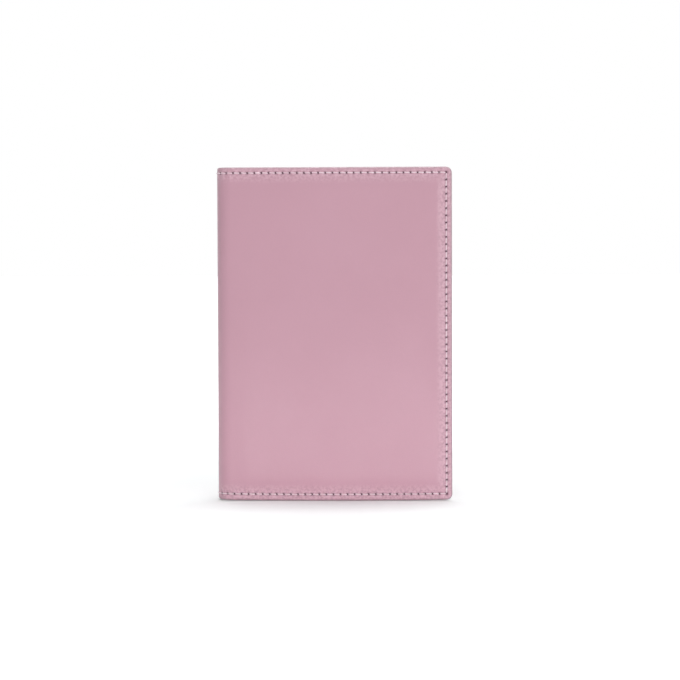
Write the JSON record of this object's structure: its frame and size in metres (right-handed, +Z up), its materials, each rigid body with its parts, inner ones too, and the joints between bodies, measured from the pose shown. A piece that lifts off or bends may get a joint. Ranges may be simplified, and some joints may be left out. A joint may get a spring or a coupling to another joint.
{
  "type": "passport holder",
  "caption": "Folding leather passport holder that stands open like a card: padded, stitched covers hinged at a rolled spine, with an inner sleeve, a slip pocket and card slots.",
  "frame": {"origin": "bottom centre of the standing holder's box, on the surface that it stands on", "axes": "+Z up along the cover's height, the front cover faces -Y, the spine is on the -X side"},
  "size_m": [0.0986, 0.0576, 0.14],
  "materials": {
    "outer_leather": "satin",
    "pocket_leather": "satin",
    "lining": "fine twill",
    "thread": "waxed thread",
    "foam": "soft foam",
    "board": "matte",
    "tape": "woven"
  },
  "bodies": {
    "back_cover": {"back_outer_leather": "outer_leather", "back_foam_padding": "foam", "back_stiffener_board": "board", "back_lining": "lining", "back_passport_sleeve": "pocket_leather", "back_seam_thread": "thread", "sleeve_mouth_thread": "thread"},
    "spine": {"spine_outer_leather": "outer_leather", "spine_tape": "tape", "spine_lining": "lining", "spine_seam_thread": "thread"},
    "front_cover": {"front_outer_leather": "outer_leather", "front_foam_padding": "foam", "front_stiffener_board": "board", "front_lining": "lining", "front_slip_pocket": "pocket_leather", "card_slot_upper": "pocket_leather", "card_slot_middle": "pocket_leather", "card_slot_lower": "pocket_leather", "front_seam_thread": "thread", "slip_pocket_thread": "thread"}
  },
  "joints": [
    {"name": "back_fold", "type": "hinge", "parent": "back_cover", "child": "spine", "pos_m": [-0.04821, -0.02039, 0.07], "axis": [0, 0, -1], "range_deg": [-15, 75]},
    {"name": "front_fold", "type": "hinge", "parent": "spine", "child": "front_cover", "pos_m": [-0.04657, -0.02654, 0.07], "axis": [0, 0, -1], "range_deg": [-15, 75]}
  ],
  "couplings": [
    {"joint": "front_fold", "follows": "back_fold", "ratio": 1}
  ]
}
